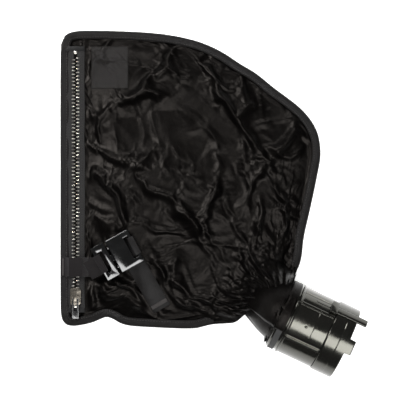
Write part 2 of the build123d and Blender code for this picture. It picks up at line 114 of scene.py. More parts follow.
def ripples(x, y, size, seed, count=26, stretch=1.0, turn=0.0):
    """A smooth random field: a sum of cosines of random direction and phase, with wavelengths near size."""
    draw = np.random.default_rng(seed)
    heading = draw.uniform(0, 2 * np.pi, count)
    number = 2 * np.pi / (size * draw.uniform(0.7, 1.6, count))
    phase = draw.uniform(0, 2 * np.pi, count)
    u = (x * np.cos(turn) + y * np.sin(turn)) * stretch
    w = y * np.cos(turn) - x * np.sin(turn)
    total = np.zeros(x.shape)
    for k, a, p in zip(number, heading, phase):
        total += np.cos(k * (u * np.cos(a) + w * np.sin(a)) + p)
    return total / np.sqrt(count / 2)


def pleat(value):
    """A triangle wave from 0 to 1 with period 2, so that a smooth field folds into flat facets."""
    return 2 * np.abs(value / 2 - np.floor(value / 2 + 0.5))


def grid_faces(rows, columns, closed=False):
    """Quads between neighbouring rows and columns of a grid, whose columns may join up into rings."""
    across = columns if closed else columns - 1
    row, column = np.meshgrid(np.arange(rows - 1), np.arange(across), indexing="ij")
    here = row * columns + column
    beside = row * columns + (column + 1) % columns
    return np.stack([here, beside, beside + columns, here + columns], -1).reshape(-1, 4)


def end_caps(rows, columns):
    """The two faces that close the ends of a tube of rings."""
    return [list(range(columns)), list(range((rows - 1) * columns, rows * columns))]


def new_piece(name, places, faces, material, smooth=True):
    """A mesh object at the origin from vertex places in metres and faces as rows of vertex numbers."""
    mesh = bpy.data.meshes.new(name)
    mesh.from_pydata(np.asarray(places, float).tolist(), [], [list(map(int, face)) for face in faces])
    mesh.materials.append(material)
    mesh.polygons.foreach_set("use_smooth", np.full(len(mesh.polygons), smooth))
    mesh.update()
    piece = bpy.data.objects.new(name, mesh)
    bpy.context.scene.collection.objects.link(piece)
    return piece


def face_outwards(piece):
    """Turns a closed mesh's faces so that they all point out."""
    work = bmesh.new()
    work.from_mesh(piece.data)
    bmesh.ops.recalc_face_normals(work, faces=work.faces)
    work.to_mesh(piece.data)
    work.free()


# Silhouette of the filled bag on the plan: round the foot from the zip's head, and round the head.
foot_points = [(0.3, 300), (0.0, 250), (0.0, 150), (0.0, 60), (0.2, 16), (1.5, 7), (7.7, 1.2), (21.8, 2.6)]
foot_points += [(35.8, 5.9), (45.4, 11.0), (50.4, 12.4), (56.3, 9.1), (62.7, 4.6), (71.4, 2.1), (84.3, 1.1)]
foot_points += [(123, -0.8), (139.2, -1.0), (146, -0.4), (159.2, 4.0), (182.2, 4.6), (188, 8.0)]
foot_points += [(196.3, 17), (204, 13), (212.7, 7.9), (217.7, 3.3)]
head_points = [(4.0, 309), (9, 312.5), (16, 314.5), (52.8, 314.5), (95, 312.6)]
head_points += [(126.7, 308.4), (153.1, 301)]
head_points += [(174.2, 290.4), (190, 279), (206.1, 270.5), (224, 255.1), (241.9, 242.3), (254.7, 232.1)]
head_points += [(265, 220.6), (272.7, 206.5), (275, 193.8), (275.6, 180.6), (272.7, 165.6), (267.5, 139.9)]
head_points += [(262.4, 117.2), (256.9, 94), (255.6, 73), (249.5, 57.5)]


def link(tree, source, target):
    """Joins an output socket to an input socket."""
    tree.links.new(source, target)


def new_material(name, colour, roughness, **values):
    """A material with these uniform shader values, and its node tree, shader and object coordinates."""
    material = bpy.data.materials.new(name)
    material.use_nodes = True
    tree = material.node_tree
    shader = tree.nodes["Principled BSDF"]
    shader.inputs["Base Color"].default_value = (*colour, 1)
    shader.inputs["Roughness"].default_value = roughness
    for socket, value in values.items():
        shader.inputs[socket.replace("_", " ")].default_value = value
    place = tree.nodes.new("ShaderNodeTexCoord").outputs["Object"]
    return material, tree, shader, place


def noise(tree, place, scale, detail=4.0, rough=0.55):
    """A noise texture's value on a place."""
    node = tree.nodes.new("ShaderNodeTexNoise")
    node.inputs["Scale"].default_value = scale
    node.inputs["Detail"].default_value = detail
    node.inputs["Roughness"].default_value = rough
    link(tree, place, node.inputs["Vector"])
    return node.outputs["Fac"]


def wave(tree, place, scale, direction, distortion=0.0):
    """Straight bands across a place, with a sine profile."""
    node = tree.nodes.new("ShaderNodeTexWave")
    node.bands_direction = direction
    node.inputs["Scale"].default_value = scale
    node.inputs["Distortion"].default_value = distortion
    link(tree, place, node.inputs["Vector"])
    return node.outputs["Fac"]


def ramp(tree, value, low, high, first, last):
    """Maps a value from low..high to first..last."""
    node = tree.nodes.new("ShaderNodeMapRange")
    for socket, number in zip(("From Min", "From Max", "To Min", "To Max"), (low, high, first, last)):
        node.inputs[socket].default_value = number
    link(tree, value, node.inputs["Value"])
    return node.outputs["Result"]


def blend_colour(tree, value, dark, light):
    """A colour between dark and light by a value."""
    node = tree.nodes.new("ShaderNodeMix")
    node.data_type = "RGBA"
    node.inputs["A"].default_value = (*dark, 1)
    node.inputs["B"].default_value = (*light, 1)
    link(tree, value, node.inputs["Factor"])
    return node.outputs["Result"]


def paint(tree, shader, value, dark, light):
    """Gives a shader a colour between dark and light by a value."""
    link(tree, blend_colour(tree, value, dark, light), shader.inputs["Base Color"])


def shine(tree, shader, value, low, high, first, last):
    """Gives a shader a roughness from first to last as a value goes from low to high."""
    link(tree, ramp(tree, value, low, high, first, last), shader.inputs["Roughness"])


def emboss(tree, shader, relief):
    """Gives a shader a bump's relief."""
    link(tree, relief, shader.inputs["Normal"])


def bump(tree, height, distance, under=None, strength=1.0):
    """A bump of a height over a distance in metres, laid on another bump if one is given."""
    node = tree.nodes.new("ShaderNodeBump")
    node.inputs["Distance"].default_value = distance
    node.inputs["Strength"].default_value = strength
    link(tree, height, node.inputs["Height"])
    if under is not None:
        link(tree, under, node.inputs["Normal"])
    return node.outputs["Normal"]


def join(tree, operation, first, second):
    """Two values through a math node."""
    node = tree.nodes.new("ShaderNodeMath")
    node.operation = operation
    for socket, value in zip(node.inputs, (first, second)):
        if isinstance(value, float):
            socket.default_value = value
        else:
            link(tree, value, socket)
    return node.outputs["Value"]


nylon, tree, shader, place = new_material(
    "crushed_nylon", (0.0095, 0.0085, 0.008), 0.3, Specular_IOR_Level=0.08
)
shader.inputs["Specular Tint"].default_value = (1.0, 0.91, 0.84, 1)
worn = noise(tree, place, 38, 6)
paint(tree, shader, worn, (0.0004, 0.0004, 0.0004), (0.0016, 0.0013, 0.0012))
shine(tree, shader, noise(tree, place, 55, 5), 0.3, 0.7, 0.3, 0.42)
weave = join(tree, "ADD", wave(tree, place, 520, "X"), wave(tree, place, 520, "Y"))
crinkle = noise(tree, place, 170, 5, 0.62)
emboss(tree, shader, bump(tree, weave, 0.000012, bump(tree, crinkle, 0.00035)))

rows_bag = 236
rows_neck = 34
columns_front = 262
columns_back = 64
row_spread = 0.93
outline_count = 700
foot_line = rounded_path(foot_points, outline_count)
head_line = rounded_path(head_points, outline_count)
pick = (np.linspace(0, 1, rows_bag) ** row_spread * (outline_count - 1)).round().astype(int)
foot_side, head_side = foot_line[pick], head_line[pick]
seam_path = np.r_[foot_line[::-7], head_line[::7]]
back_x, back_y = (collar_back - plan_corner)[:2] * 1000
way_x, way_y = collar_way[:2]


def along_collar(x, y):
    """How far plan points lie in front of the collar's back rim, and how far to its lower side, in mm."""
    ahead = (x - back_x) * way_x + (y - back_y) * way_y
    aside = (x - back_x) * way_y - (y - back_y) * way_x
    return ahead, aside


def filled_height(x, y):
    """Height of the filled front in mm: flat by the seams and the zip, domed between, raised at the neck.

    The dome rises as 1 - exp(-d / 30) with d the distance from the seam. The funnel is the top of an oval
    whose height grows towards the collar, and the larger of the two, softened, is the cloth.
    """
    inward, _ = from_path(x, y, seam_path)
    dome = 3.4 + 10.5 * (1 - np.exp(-np.maximum(inward - 7, 0) / 30)) * ease(26, 56, x)
    ahead, aside = along_collar(x, y)
    top = np.interp(ahead, [-120, -85, -60, -40, -20, -8, 0], [0, 4, 14, 29, 52, 68, 76])
    half = np.interp(ahead, [-120, -60, -20, 0], [60, 50, 42, 39])
    shift = np.interp(ahead, [-60, -20, 0], [-4, -6, 0])
    funnel = top * np.sqrt(np.clip(1 - ((aside - shift) / half) ** 2, 0, 1))
    gap = dome - funnel
    return 0.5 * (dome + funnel + np.sqrt(gap * gap + 30)) - 2.7 * np.exp(-inward / 9), inward


# Creases that were pressed into the cloth by the way it lies: (plan points, height, half width), in mm.
creases = [
    ([(190, 214), (195, 175), (199, 146), (185, 103)], 3.0, 9),
    ([(248, 209), (222, 178), (201, 151)], 2.6, 8),
    ([(106, 198), (84, 172), (53, 146)], 2.4, 8),
    ([(216, 135), (207, 108), (201, 72)], 2.6, 7),
    ([(92, 93), (106, 62), (112, 40), (127, 24), (164, 17)], 3.6, 7),
    ([(150, 118), (166, 82), (186, 52), (204, 36)], 3.0, 6),
    ([(178, 128), (192, 92), (210, 58)], 2.6, 6),
    ([(120, 150), (142, 104), (160, 74), (190, 40)], 2.6, 8),
    ([(236, 150), (236, 110), (232, 78)], 3.0, 7),
    ([(60, 236), (56, 214), (60, 190)], 1.8, 6),
    ([(46, 240), (44, 216), (38, 186)], 1.6, 5),
    ([(80, 244), (90, 214), (88, 186)], 1.8, 7),
    ([(120, 206), (146, 212), (166, 200), (172, 178), (158, 160)], 2.6, 8),
    ([(30, 172), (56, 150), (70, 118), (68, 96)], 2.0, 7),
    ([(100, 284), (130, 262), (172, 262), (210, 240)], 2.2, 9),
    ([(140, 296), (164, 262), (170, 236)], 1.8, 7),
    ([(36, 120), (60, 108), (92, 112), (118, 98)], 1.8, 6),
    ([(130, 20), (118, 52), (128, 84)], 2.2, 7),
    ([(150, 12), (166, 40), (170, 66)], 2.2, 6),
    ([(60, 50), (82, 36), (100, 14)], 1.8, 6),
    ([(262, 190), (240, 182), (216, 190)], 1.8, 7),
    ([(258, 130), (240, 136), (222, 150)], 1.8, 6),
]


def folds(x, y, count, length, half, height, seed):
    """Height of random folds in mm, summed.

    Each fold is height * exp(-(u / length)^2) * exp(-w / half), with u along it and w the rounded distance
    from its crest, which bends a little; most folds run towards the collar and a third of them are valleys.
    """
    draw = np.random.default_rng(seed)
    total = np.zeros(x.shape)
    for _ in range(count):
        middle_x, middle_y = draw.uniform(24, 275), draw.uniform(2, 314)
        towards = np.arctan2(back_y - middle_y, back_x - middle_x)
        turn = towards + draw.normal(0, 0.45) if draw.random() < 0.55 else draw.uniform(0, np.pi)
        long_by = length * draw.uniform(0.6, 1.5)
        wide_by = half * draw.uniform(0.6, 1.4)
        high = height * draw.uniform(0.4, 1.0)
        u = (x - middle_x) * np.cos(turn) + (y - middle_y) * np.sin(turn)
        w = (y - middle_y) * np.cos(turn) - (x - middle_x) * np.sin(turn)
        w += draw.normal(0, 0.16) * u * u / long_by
        sign = -0.8 if draw.random() < 0.34 else 1.0
        off_crest = np.sqrt(w * w + 0.5) - 0.7
        total += sign * high * np.exp(-((u / long_by) ** 2) - off_crest / wide_by)
    return total


def crushed(x, y, inward):
    """Height of the crumples in mm: random folds in four sizes, laid creases, and gathers at the neck."""
    ahead, aside = along_collar(x, y)
    far = np.hypot(ahead - 6, aside)
    bearing = np.arctan2(aside, -ahead + 6)
    free = ease(4, 22, inward) * ease(20, 40, x)
    warp_x = x + 3.0 * ripples(x, y, 40, 11) + 0.3 * ripples(x, y, 15, 12)
    warp_y = y + 3.0 * ripples(x, y, 40, 13) + 0.3 * ripples(x, y, 15, 14)
    total = 1.6 * ripples(warp_x, warp_y, 90, 21) - 3.0
    total += folds(warp_x, warp_y, 30, 62, 17, 6.0, 61)
    total += folds(warp_x, warp_y, 120, 30, 9.0, 3.0, 62)
    total += folds(warp_x, warp_y, 200, 15, 4.2, 0.75, 63)
    total += folds(warp_x, warp_y, 260, 8.0, 2.4, 0.16, 64)
    pull = 3.4 * np.exp(-((far - 46) / 40) ** 2)
    gathered = pull * (pleat(8.5 * bearing + 0.8 * ripples(x, y, 45, 26)) - 0.5)
    gathered += 0.45 * pull * (pleat(19 * bearing + 0.9 * ripples(x, y, 30, 27)) - 0.5)
    for points, height, half in creases:
        line = rounded_path(points, 26, 2)
        gap, along = from_path(x + 1.6 * ripples(x, y, 24, 31), y + 1.6 * ripples(x, y, 24, 32), line)
        taper = np.sin(np.pi * np.clip(along, 0.02, 0.98)) ** 0.6
        total += height * taper * np.maximum(0, 1 - gap / half) ** 1.25
    return total * free + gathered * ease(1, 10, inward)


# Where the straps and the buckle lie on the cloth, in mm: (plan points, half width, and the cloth's
# height at the start and at the end).
strap_lines = [
    ([(0, 64.4), (40, 64.4)], 11, 4.3, 4.3),
    ([(40, 66), (78, 87)], 18, 13.2, 13.2),
    ([(72, 82.2), (108.2, 19.3)], 11, 13.0, 6.4),
]
across = np.linspace(0, 1, columns_front)
across_back = np.linspace(1, 0, columns_back + 2)[1:-1]


def lay_section(foot, head, shares):
    """Points on the straight lines from the head side to the foot side of each section."""
    return head[:, None, :] + (foot - head)[:, None, :] * shares[None, :, None]


def finer(grid, count, axis):
    """A grid of points with count points along one axis, on cubic curves through the ones it has."""
    rows = np.moveaxis(grid, axis, 0)
    spot = np.linspace(0, len(rows) - 1, count)
    index = np.minimum(spot.astype(int), len(rows) - 2)
    part = (spot - index)[:, None, None]
    a, b, c, d = (rows[np.clip(index + step, 0, len(rows) - 1)] for step in (-1, 0, 1, 2))
    curve = b + 0.5 * part * (c - a + part * (2 * a - 5 * b + 4 * c - d + part * (3 * (b - c) + d - a)))
    return np.moveaxis(curve, 0, axis)


def crush_by_weight(start, under, held, spare, frames):
    """Lets a sheet that is cut larger than its place, by the spare share, sink in folds onto a form.

    The sheet and the form under it are grids in mm. Both are ten times their size while the sheet moves,
    which suits the solver.
    """
    scale = 0.01
    rows, columns = start.shape[:2]
    faces = grid_faces(rows, columns)
    sheet = new_piece("crushing", start.reshape(-1, 3) * scale, faces, nylon)
    form = new_piece("form", under.reshape(-1, 3) * scale, faces, nylon)
    form.modifiers.new("solid", "COLLISION")
    form.collision.thickness_outer = 0.004
    form.collision.cloth_friction = 8
    group = sheet.vertex_groups.new(name="held")
    group.add(np.flatnonzero(held.ravel()).tolist(), 1.0, "REPLACE")
    cloth = sheet.modifiers.new("cloth", "CLOTH")
    cloth.settings.quality = 6
    cloth.settings.mass = 0.15
    cloth.settings.tension_stiffness = 30
    cloth.settings.compression_stiffness = 30
    cloth.settings.shear_stiffness = 12
    cloth.settings.bending_stiffness = 0.9
    cloth.settings.air_damping = 1.5
    cloth.settings.vertex_group_mass = "held"
    cloth.settings.shrink_min = -spare
    cloth.settings.shrink_max = -spare
    cloth.collision_settings.distance_min = 0.004
    cloth.point_cache.frame_start = 1
    cloth.point_cache.frame_end = frames
    for number in range(1, frames + 1):
        bpy.context.scene.frame_set(number)
    seen = sheet.evaluated_get(bpy.context.evaluated_depsgraph_get()).to_mesh()
    settled = np.zeros(rows * columns * 3, np.float32)
    seen.vertices.foreach_get("co", settled)
    bpy.context.scene.frame_set(1)
    bpy.data.objects.remove(sheet)
    bpy.data.objects.remove(form)
    return settled.reshape(rows, columns, 3).astype(float) / scale


front_xy = lay_section(foot_side, head_side, across)
coarse_rows, coarse_columns = 104, 96
pick = (np.linspace(0, 1, coarse_rows) ** row_spread * (outline_count - 1)).round().astype(int)
coarse = lay_section(foot_line[pick], head_line[pick], np.linspace(0, 1, coarse_columns))
level, inward = filled_height(coarse[..., 0], coarse[..., 1])
free = ease(3, 10, inward) * ease(24, 34, coarse[..., 0])
begun = level + free * 1.5
begun += np.maximum(crushed(coarse[..., 0], coarse[..., 1], inward), -2.0)
held = (inward < 2.5) | (coarse[..., 0] < 25)
held[0] = held[-1] = True
settled = crush_by_weight(
    np.concatenate([coarse, begun[..., None]], -1),
    np.concatenate([coarse, (level - 2.2)[..., None]], -1),
    held, spare=0.012, frames=30,
)
settled = finer(finer(settled, rows_bag, 0), columns_front, 1)
front_xy, settled_z = settled[..., :2], settled[..., 2]
front_z, inward = filled_height(front_xy[..., 0], front_xy[..., 1])
crease_share = 0.6
front_z = settled_z + crease_share * crushed(front_xy[..., 0], front_xy[..., 1], inward)
for path, half, rise, drop in strap_lines:
    line = np.array(path, float)
    gap, along = from_path(front_xy[..., 0], front_xy[..., 1], line)
    top = rise + (drop - rise) * ease(0.5, 1.0, along)
    over = np.maximum(front_z - top, 0) * (1 - ease(half, half + 12, gap))
    front_z = front_z - over
slot_depth, zip_level, lowest_front = 2.9, 4.3, 1.3
slot_dip = ease(8.4, 9.6, front_xy[..., 0]) * (1 - ease(22.4, 23.6, front_xy[..., 0]))
zip_flat = 1 - ease(25, 34, front_xy[..., 0])
front_z = front_z * (1 - zip_flat) + zip_flat * np.minimum(front_z, zip_level)
front_z = np.maximum(front_z - slot_dip * slot_depth, lowest_front)
front = np.concatenate([front_xy, front_z[..., None]], -1)
seam_height = 2.2
front[:, 0, 2] = front[:, -1, 2] = seam_height
back_xy = lay_section(foot_side, head_side, across_back)
back_inward, _ = from_path(back_xy[..., 0], back_xy[..., 1], seam_path)
back_waves = np.maximum(1 + ripples(back_xy[..., 0], back_xy[..., 1], 34, 41), 0)
back_z = 0.25 + 0.7 * np.exp(-back_inward / 5) + 0.16 * back_waves
back = np.concatenate([back_xy, back_z[..., None]], -1)
shell = [on_plan(row) for row in np.concatenate([front, back], 1)]

# Neck: rings carry the last section of the bag over to round rings on the collar's line, then the hem
# turns under and a lining runs back into the bag. On the lower side the hem is drawn in and back.
angle = np.r_[-90 + 180 * across, 90 + 180 * (1 - across_back)] * np.pi / 180
degrees = np.degrees(angle)
bare = ease(20, 32, degrees) * (1 - ease(96, 124, degrees))


def collar_ring(ahead, radius, squeeze=0.0):
    """A ring round the collar's line, a distance ahead of its back rim, drawn in and back where bare."""
    round_by = (radius - 0.0052 * bare) * np.ones_like(angle)
    ahead_by = ahead - 0.0085 * bare * ease(0.0, 0.012, np.float64(max(ahead, 0.0)))
    up = np.array([0.0, 0.0, 1.0])
    ring = collar_back + collar_way * (ahead_by * np.ones_like(angle))[:, None]
    ring = ring + up * (np.cos(angle) * round_by)[:, None] * (1 - squeeze)
    return ring + collar_side * (np.sin(angle) * round_by)[:, None]


throat = shell[-1]
first_round = collar_ring(-0.0015, hem_radius - 0.0006)
gather_depth = 0.0068
neck_rows = []
for step in np.linspace(0, 1, rows_neck)[1:]:
    gathers = pleat(3.1 * angle + 0.7 * np.sin(3 * angle) + 1.3 * step) - 0.5
    gathers += 0.45 * (pleat(7.3 * angle + 0.9 * np.sin(5 * angle + 1) - 2.1 * step) - 0.5)
    gathers += 0.8 * (pleat(2.2 * step + 1.1 * np.sin(2.3 * angle)) - 0.5) * np.sin(np.pi * step)
    gathers += 0.3 * (pleat(15.7 * angle + 1.4 * np.sin(4 * angle) + 3.0 * step) - 0.5)
    swell = gather_depth * gathers * np.sin(np.pi * step) ** 0.7
    ring = throat + (first_round - throat) * ease(-0.25, 1.0, step) ** 1.15
    radial = np.cos(angle)[:, None] * np.array([0.0, 0.0, 1.0]) + np.sin(angle)[:, None] * collar_side
    ring = ring + radial * swell[:, None]
    ring[:, 2] = np.maximum(ring[:, 2], 0.0003)
    neck_rows.append(ring)
hem_outside = [(0.0005, -0.0002), (0.0025, 0.0), (0.0045, -0.0003), (0.0072, 0.0), (0.0088, 0.0)]
hem_turned = [(0.0094, -0.0004), (0.0092, -0.0010), (0.005, -0.0011)]
lining = [(-0.001, -0.0012), (-0.0045, -0.0048), (-0.012, -0.0075)]
for ahead, change in hem_outside + hem_turned + lining:
    neck_rows.append(collar_ring(ahead, hem_radius + change))
inner_end = collar_ring(-0.036, 0.018, 0.45)
inner_end[:, 2] -= 0.014
neck_rows.append(0.5 * (neck_rows[-1] + inner_end))
neck_rows.append(inner_end)
shell += neck_rows
ring_size = columns_front + columns_back
places = np.concatenate(shell)
faces = grid_faces(len(shell), ring_size, closed=True).tolist()
faces += end_caps(len(shell), ring_size)
bag_cloth = new_piece("bag_cloth", places, faces, nylon)
face_outwards(bag_cloth)
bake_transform(bag_cloth)
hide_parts("front_panel", "back_panel", "side_strip", "neck_sleeve")

# ---------------------------------------------------------------------------------------------------
# Edge binding. A ribbed tape folded over the raw edges of both panels and sewn through with one row of
# lockstitch near its inner edge; it puckers a little along its run.
seam_line = rounded_path(np.r_[foot_line[::-10], head_line[::10]], 620, 1)


def inward_normals(path):
    """Unit normals of a plan path that has the bag on its right as it runs."""
    way = np.gradient(path[:, :2], axis=0)
    way /= np.linalg.norm(way, axis=1)[:, None]
    return np.c_[way[:, 1], -way[:, 0]]


def sweep_flat(path, normals, profile, lift):
    """Carries a closed profile of (inward, up) in mm along a plan path, raised by lift; rows of points."""
    rows = path[:, None, :2] + normals[:, None, :] * profile[None, :, :1]
    height = profile[None, :, 1] + lift[:, None] * ease(1.0, 4.5, profile[None, :, 1])
    return np.concatenate([rows, height[..., None]], -1)


binding_profile = np.array(
    [(8.4, 3.6), (8.7, 4.6), (8.2, 5.2), (6.8, 5.4), (4.2, 5.8), (1.4, 5.4), (0.1, 4.6), (-0.3, 3.1)]
    + [(0.1, 1.4), (1.4, 0.35), (4.4, 0.1), (8.0, 0.08), (9.2, 0.3), (9.4, 0.9)]
    + [(5.0, 1.5), (3.0, 2.6), (5.0, 3.4)]
)
normals = inward_normals(seam_line)
if (normals[100] @ (np.array([130, 150]) - seam_line[100, :2])) < 0:
    normals = -normals
run = np.linspace(0, 1, len(seam_line))
pucker = 0.9 * np.clip(0.5 + 0.5 * ripples(run * 1400, run * 0, 46, 51), -0.3, 2)
ribbon = sweep_flat(seam_line, normals, binding_profile, pucker)
columns = len(binding_profile)
ribbon_faces = grid_faces(len(seam_line), columns, closed=True).tolist()
ribbon_faces += end_caps(len(seam_line), columns)

tape, tree, shader, place = new_material("ribbed_tape", (0.01, 0.009, 0.008), 0.5, Specular_IOR_Level=0.16)
shader.inputs["Sheen Weight"].default_value = 0.04
shader.inputs["Sheen Roughness"].default_value = 0.35
layout = tree.nodes.new("ShaderNodeUVMap").outputs["UV"]
ribs = wave(tree, layout, 1.0, "X")
fleck = noise(tree, place, 420, 3)
paint(tree, shader, join(tree, "MULTIPLY", ribs, fleck), (0.002, 0.0018, 0.0018), (0.013, 0.0112, 0.0105))
emboss(tree, shader, bump(tree, ribs, 0.0003, bump(tree, fleck, 0.0002)))
edge_tape = new_piece("edge_tape", on_plan(ribbon.reshape(-1, 3)), ribbon_faces, tape)


def lay_uv(piece, rows, columns, length_mm, width_mm, pitch_mm):
    """Gives a swept piece a UV map whose U counts ribs of a pitch along it, and whose V goes across; a
    wave texture of scale 1 repeats after the length that band gives."""
    band = 0.3142
    layer = piece.data.uv_layers.new(name="UVMap")
    corner = np.zeros(len(piece.data.loops), np.int32)
    piece.data.loops.foreach_get("vertex_index", corner)
    u = (corner // columns) / (rows - 1) * length_mm / pitch_mm * band
    v = (corner % columns) / columns * width_mm / pitch_mm * band
    layer.data.foreach_set("uv", np.c_[u, v].ravel())


lay_uv(edge_tape, len(seam_line), columns, length_mm=960, width_mm=40, pitch_mm=1.25)
face_outwards(edge_tape)
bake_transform(edge_tape)
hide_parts("edge_binding")


def stitch_row(name, path, normals, inset, heights, pitch, material, radius=0.28, gap=0.3, blend=False):
    """A row of stitches on the bag: six-sided beads along a plan path, from one needle hole to the next."""
    length = np.r_[0, np.cumsum(np.linalg.norm(np.diff(path[:, :2], axis=0), axis=1))]
    count = int(length[-1] / pitch)
    ends = np.arange(count) * pitch
    line = np.c_[path[:, :2] + normals * inset, heights]
    sample = np.concatenate([ends, ends + pitch * (1 - gap)])
    spots = np.stack([np.interp(sample, length, line[:, axis]) for axis in range(3)], 1)
    first, last = spots[:count], spots[count:]
    steps = np.array([0.0, 0.2, 0.8, 1.0])
    girth = np.array([0.35, 1.0, 1.0, 0.35]) * radius
    lift = np.array([-0.15, 0.25, 0.25, -0.15])
    turn = np.arange(6) * np.pi / 3
    way = last - first
    flat = way[:, :2] / np.linalg.norm(way[:, :2], axis=1)[:, None]
    cross = np.c_[-flat[:, 1], flat[:, 0], np.zeros(count)]
    centre = first[:, None, :] + way[:, None, :] * steps[None, :, None]
    centre[..., 2] += lift[None, :]
    ring = cross[:, None, None, :] * (np.cos(turn)[None, None, :, None] * girth[None, :, None, None])
    ring = centre[:, :, None, :] + ring
    ring[..., 2] += np.sin(turn)[None, None, :] * girth[None, :, None]
    bead = grid_faces(4, 6, closed=True).tolist() + [[5, 4, 3, 2, 1, 0], [18, 19, 20, 21, 22, 23]]
    quads = [[v + base for v in face] for base in (np.arange(count) * 24) for face in bead]
    piece = new_piece(name, on_plan(ring.reshape(-1, 3)), quads, material)
    face_outwards(piece)
    if blend:
        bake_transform(piece)
    else:
        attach(piece, "bag")
    return piece


thread, tree, shader, place = new_material(
    "waxed_thread", (0.02, 0.018, 0.017), 0.5, Specular_IOR_Level=0.3
)
paint(tree, shader, noise(tree, place, 900, 2), (0.008, 0.007, 0.007), (0.034, 0.03, 0.028))
emboss(tree, shader, bump(tree, wave(tree, place, 700, "DIAGONAL"), 0.0001))
tape_top = np.full(len(seam_line), 5.42) + pucker * ease(1.0, 4.5, 5.4)
stitch_row("edge_stitches", seam_line, normals, 6.6, tape_top, 2.9, thread, blend=True)

# ---------------------------------------------------------------------------------------------------
# Collar. Glossy black mouldings: a sleeve with two ribs and a channel, an end ring with its key, a lock
# finger and the keeper over it. Their sharp edges are rounded a little, as a mould leaves them.
plastic, tree, shader, place = new_material(
    "gloss_moulding", (0.004, 0.004, 0.0035), 0.16, Specular_IOR_Level=0.66
)
shader.inputs["Specular Tint"].default_value = (1.0, 0.99, 0.87, 1)
smear = noise(tree, place, 26, 6, 0.6)
shine(tree, shader, smear, 0.3, 0.75, 0.1, 0.26)
paint(tree, shader, noise(tree, place, 60, 4), (0.002, 0.002, 0.0018), (0.006, 0.0058, 0.005))
emboss(tree, shader, bump(tree, noise(tree, place, 45, 3), 0.0001))


def dress(node, name, material, body, rounding, segments=2):
    """Copies a frame node's mesh, merges its loose corners, joins its flat faces and rounds its edges."""
    mesh = frame["nodes"][node].data.copy()
    mesh.name = name
    work = bmesh.new()
    work.from_mesh(mesh)
    bmesh.ops.remove_doubles(work, verts=work.verts, dist=2e-6)
    bmesh.ops.dissolve_limit(work, angle_limit=0.02, verts=work.verts, edges=work.edges)
    bmesh.ops.recalc_face_normals(work, faces=work.faces)
    work.to_mesh(mesh)
    work.free()
    mesh.materials.clear()
    mesh.materials.append(material)
    mesh.polygons.foreach_set("use_smooth", np.full(len(mesh.polygons), True))
    piece = bpy.data.objects.new(name, mesh)
    bpy.context.scene.collection.objects.link(piece)
    edge = piece.modifiers.new("rounded_edges", "BEVEL")
    edge.width = rounding
    edge.segments = segments
    edge.limit_method = "ANGLE"
    edge.angle_limit = 0.5
    edge.harden_normals = True
    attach(piece, body)
    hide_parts(node)
    return piece


def window(value, low, high, soft):
    """1 between low and high, easing to 0 over soft outside and inside each end."""
    return ease(low - soft, low + soft, value) * (1 - ease(high - soft, high + soft, value))


def around_collar(ahead, radius, degrees):
    """Points in metres, from mm ahead of the back rim, a radius in mm and degrees from straight up."""
    turn = np.radians(degrees)
    up = np.cos(turn)[..., None] * np.array([0.0, 0.0, 1.0]) + np.sin(turn)[..., None] * collar_side
    return collar_back + collar_way * ahead[..., None] / 1000 + up * radius[..., None] / 1000


def near(edges, soft):
    """Grid lines close to each edge, so that a rounded step has its own faces."""
    return (np.array(edges)[:, None] + soft * np.array([-1.0, -0.5, 0.0, 0.5, 1.0])[None, :]).ravel()


bore = mounts["collar_bore"]["dims"]["r_mm"]
barrel, under_hem, nose = bore + 2.8, bore + 1.9, bore + 1.85
rim = bore + 4.2
rib_places = (-34.0, 28.4)
rib_half = 2.3
channel_edges = (-61.5, -37.0)
guide_edges = (-55, -50.5)
rim_band, channel_reach, guide_reach = (11.2, 13.0), (14.5, 60.0), (28.4, 44.0)
barrel_end, parting_line, dimple = 51.8, 36.0, 28.0
round_by, turn_by = 0.25, 0.4
sides = [*channel_edges, *guide_edges] + [rib + side * rib_half for rib in rib_places for side in (-1, 1)]
theta = np.unique(np.r_[np.arange(-180, 180, 2.0), near(sides, turn_by)])
theta = np.unique(np.r_[theta, np.linspace(-2.5, 2.5, 17)])
steps_along = [*rim_band, channel_reach[0], *guide_reach, barrel_end]
ahead = np.r_[np.arange(1.0, 73.5, 1.5), near(steps_along, round_by), np.linspace(26.3, 29.7, 13)]
ahead = np.unique(np.r_[ahead, 0.25, 0.5, 35.8, 36.0, 36.2, 73.0, 73.5, 73.8])
s_grid, t_grid = np.meshgrid(ahead, theta, indexing="ij")
skin = under_hem + (rim - under_hem) * window(s_grid, *rim_band, round_by)
skin += (barrel - under_hem) * window(s_grid, rim_band[1], barrel_end, round_by) * (s_grid > 12)
skin -= (under_hem - nose) * ease(51.5, 52.0, s_grid)
for rib in rib_places:
    across_rib = window(t_grid, rib - rib_half, rib + rib_half, turn_by)
    skin += 1.45 * across_rib * window(s_grid, 13.2, 51.4, 0.3)
in_channel = window(t_grid, *channel_edges, turn_by) * window(s_grid, *channel_reach, round_by)
skin -= 0.95 * in_channel * (s_grid < 51.9)
skin += 0.28 * window(t_grid, *guide_edges, turn_by) * window(s_grid, *guide_reach, round_by)
skin -= 0.1 * np.exp(-((s_grid - parting_line) / 0.14) ** 2)
skin -= 0.75 * np.exp(-((s_grid - dimple) ** 2 + (t_grid * 0.646) ** 2) / 0.7)
skin -= 0.35 * (1 - ease(0.0, 0.6, s_grid)) + 0.4 * ease(73.2, 73.9, s_grid)
outer_rows = around_collar(s_grid, skin, t_grid)
wall = [(74.0, bore + 1.2), (74.0, bore + 0.7), (73.6, bore), (50.0, bore), (25.0, bore), (0.4, bore)]
wall += [(0.0, bore + 0.4), (0.0, bore + 1.4)]
inner_rows = [around_collar(np.full(len(theta), at), np.full(len(theta), r), theta) for at, r in wall]
rings = np.concatenate([outer_rows, np.array(inner_rows)])
count = len(theta)
ring_faces = grid_faces(len(rings), count, closed=True)
last = (len(rings) - 1) * count
